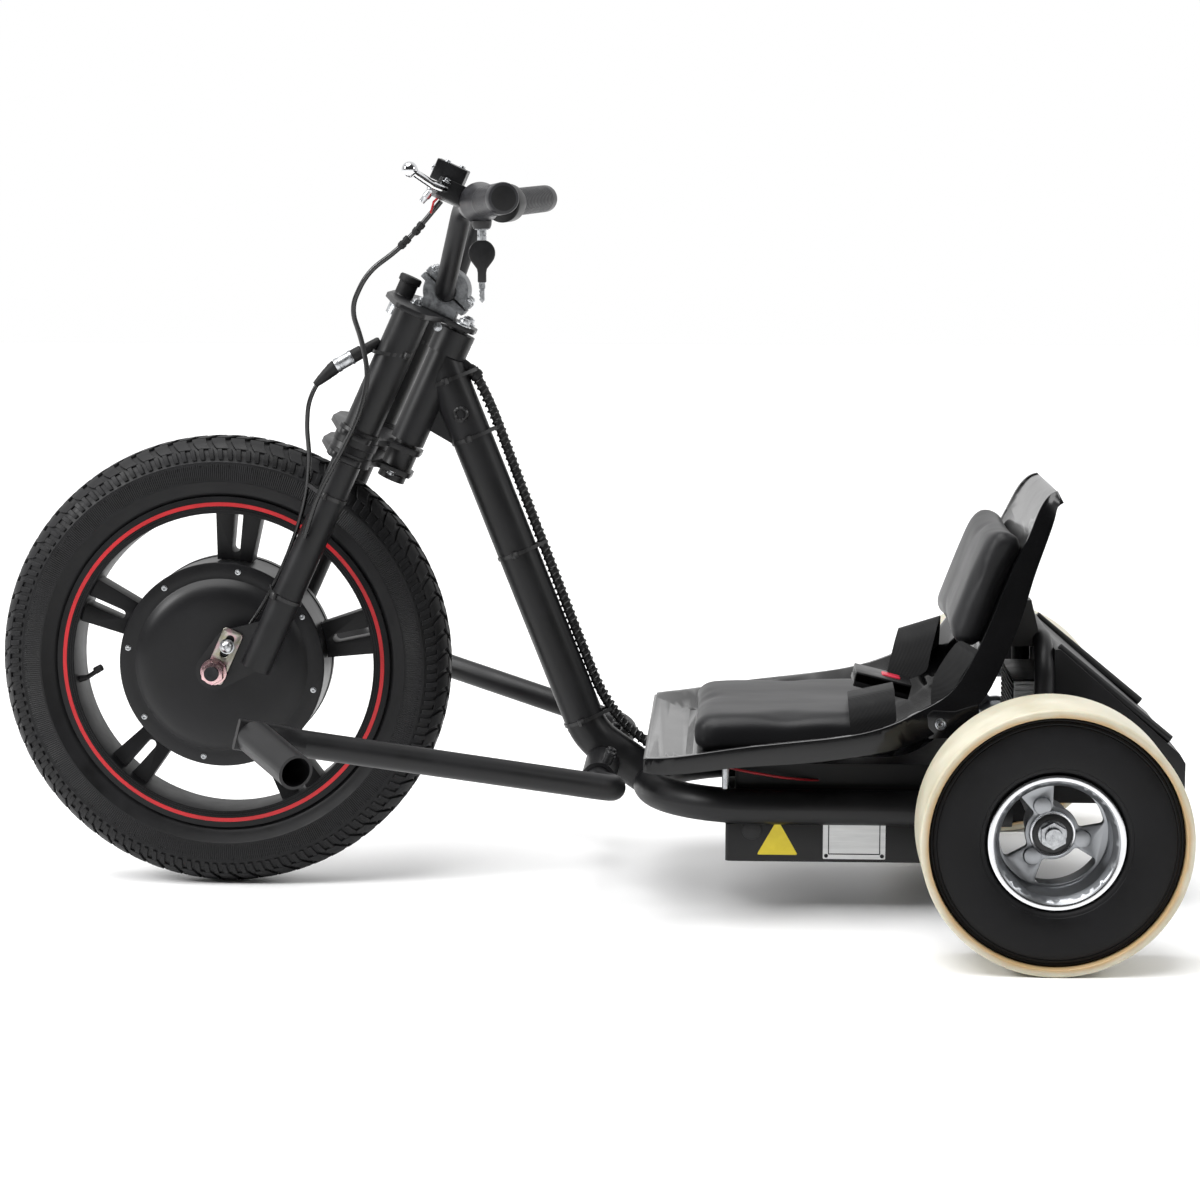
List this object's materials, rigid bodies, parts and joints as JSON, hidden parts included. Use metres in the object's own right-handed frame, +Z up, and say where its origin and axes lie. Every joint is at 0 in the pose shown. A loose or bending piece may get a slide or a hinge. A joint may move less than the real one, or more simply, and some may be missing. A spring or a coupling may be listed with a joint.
{
  "type": "electric drift tricycle",
  "caption": "Low electric drift tricycle: motor front wheel in a raked fork, tube frame with bucket seat and footrests, sleeved rear wheels.",
  "frame": {"origin": "on the ground, in the middle of the overall length, on the centre plane", "axes": "+X forward, +Y to the rider's left, +Z up"},
  "size_m": [1.3026, 0.885, 0.8065],
  "materials": {
    "black_paint": "satin powder coat",
    "plated_steel": "zinc plated",
    "zinc_steel": "yellow passivated zinc",
    "chrome": "polished",
    "bare_aluminium": "turned and polished",
    "cast_aluminium": "as cast",
    "tyre_rubber": "matt",
    "grip_rubber": "satin",
    "cable_rubber": "satin",
    "sleeve_plastic": "translucent extrusion",
    "moulded_plastic": "satin",
    "shell_plastic": "gloss moulding",
    "black_vinyl": "soft grained",
    "webbing": "woven"
  },
  "bodies": {
    "frame": {"back_pad": "black_vinyl", "battery_box": "black_paint", "belt_buckle": "moulded_plastic", "controller": "cast_aluminium", "cross_sleeve": "black_paint", "down_tube": "black_paint", "foot_arms": "black_paint", "foot_pegs": "black_paint", "head_tube": "black_paint", "lap_belt": "webbing", "main_rails": "black_paint", "rear_axle": "plated_steel", "rear_cover": "black_paint", "rear_hoop": "black_paint", "rear_nuts": "plated_steel", "seat_pad": "black_vinyl", "seat_shell": "shell_plastic", "seat_studs": "plated_steel", "wiring_loom": "cable_rubber"},
    "steering": {"front_axle": "plated_steel", "axle_nuts": "plated_steel", "torque_plates": "zinc_steel", "fork_leg_left": "black_paint", "fork_leg_right": "black_paint", "upper_crown": "black_paint", "lower_crown": "black_paint", "steering_stem": "plated_steel", "handlebar": "black_paint", "bar_clamp": "cast_aluminium", "grip_left": "grip_rubber", "grip_right": "grip_rubber", "throttle_housing": "moulded_plastic", "brake_perch": "moulded_plastic", "brake_lever": "chrome", "key_lock": "plated_steel", "ignition_key": "moulded_plastic", "steering_cables": "cable_rubber"},
    "front_wheel": {"front_tyre": "tyre_rubber", "front_rim": "black_paint", "hub_motor": "black_paint"},
    "rear_wheel_left": {"rear_rim_left": "bare_aluminium", "rear_tyre_left": "tyre_rubber", "drift_sleeve_left": "sleeve_plastic"},
    "rear_wheel_right": {"rear_rim_right": "bare_aluminium", "rear_tyre_right": "tyre_rubber", "drift_sleeve_right": "sleeve_plastic"}
  },
  "joints": [
    {"name": "steering_turn", "type": "hinge", "parent": "frame", "child": "steering", "pos_m": [0.16639, 0, 0.55981], "axis": [-0.4147, 0, 0.91], "range_deg": [-30, 30]},
    {"name": "front_wheel_spin", "type": "hinge", "parent": "steering", "child": "front_wheel", "pos_m": [0.39875, 0, 0.2525], "axis": [0, 1, 0], "continuous": true},
    {"name": "rear_wheel_left_spin", "type": "hinge", "parent": "frame", "child": "rear_wheel_left", "pos_m": [-0.48925, 0.33, 0.135], "axis": [0, 1, 0], "continuous": true},
    {"name": "rear_wheel_right_spin", "type": "hinge", "parent": "frame", "child": "rear_wheel_right", "pos_m": [-0.48925, -0.33, 0.135], "axis": [0, 1, 0], "continuous": true}
  ]
}
